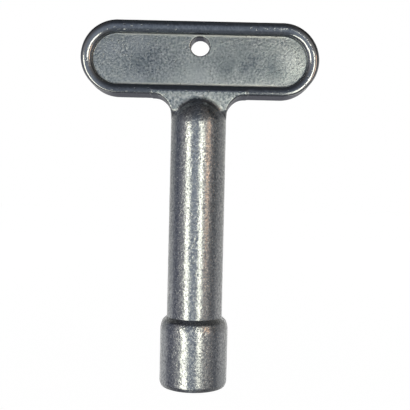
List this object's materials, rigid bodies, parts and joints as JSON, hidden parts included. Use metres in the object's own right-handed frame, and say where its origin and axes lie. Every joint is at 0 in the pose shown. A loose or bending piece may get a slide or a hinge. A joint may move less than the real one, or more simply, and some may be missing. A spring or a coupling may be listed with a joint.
{
  "type": "radiator bleed key",
  "caption": "T-handled metal key with a square socket for radiator bleed screws: flat rimmed grip, round shank and socket head.",
  "frame": {"origin": "centre of the socket's mouth, on the plane that the key stands on", "axes": "+Z along the shank towards the grip, X along the grip, -Y out of the grip's front face"},
  "size_m": [0.04, 0.0114, 0.0611],
  "materials": {
    "cast_zinc": "satin",
    "tumbled_zinc": "satin"
  },
  "bodies": {
    "root": {"handle": "cast_zinc", "shank": "tumbled_zinc", "socket_head": "tumbled_zinc"}
  },
  "joints": []
}
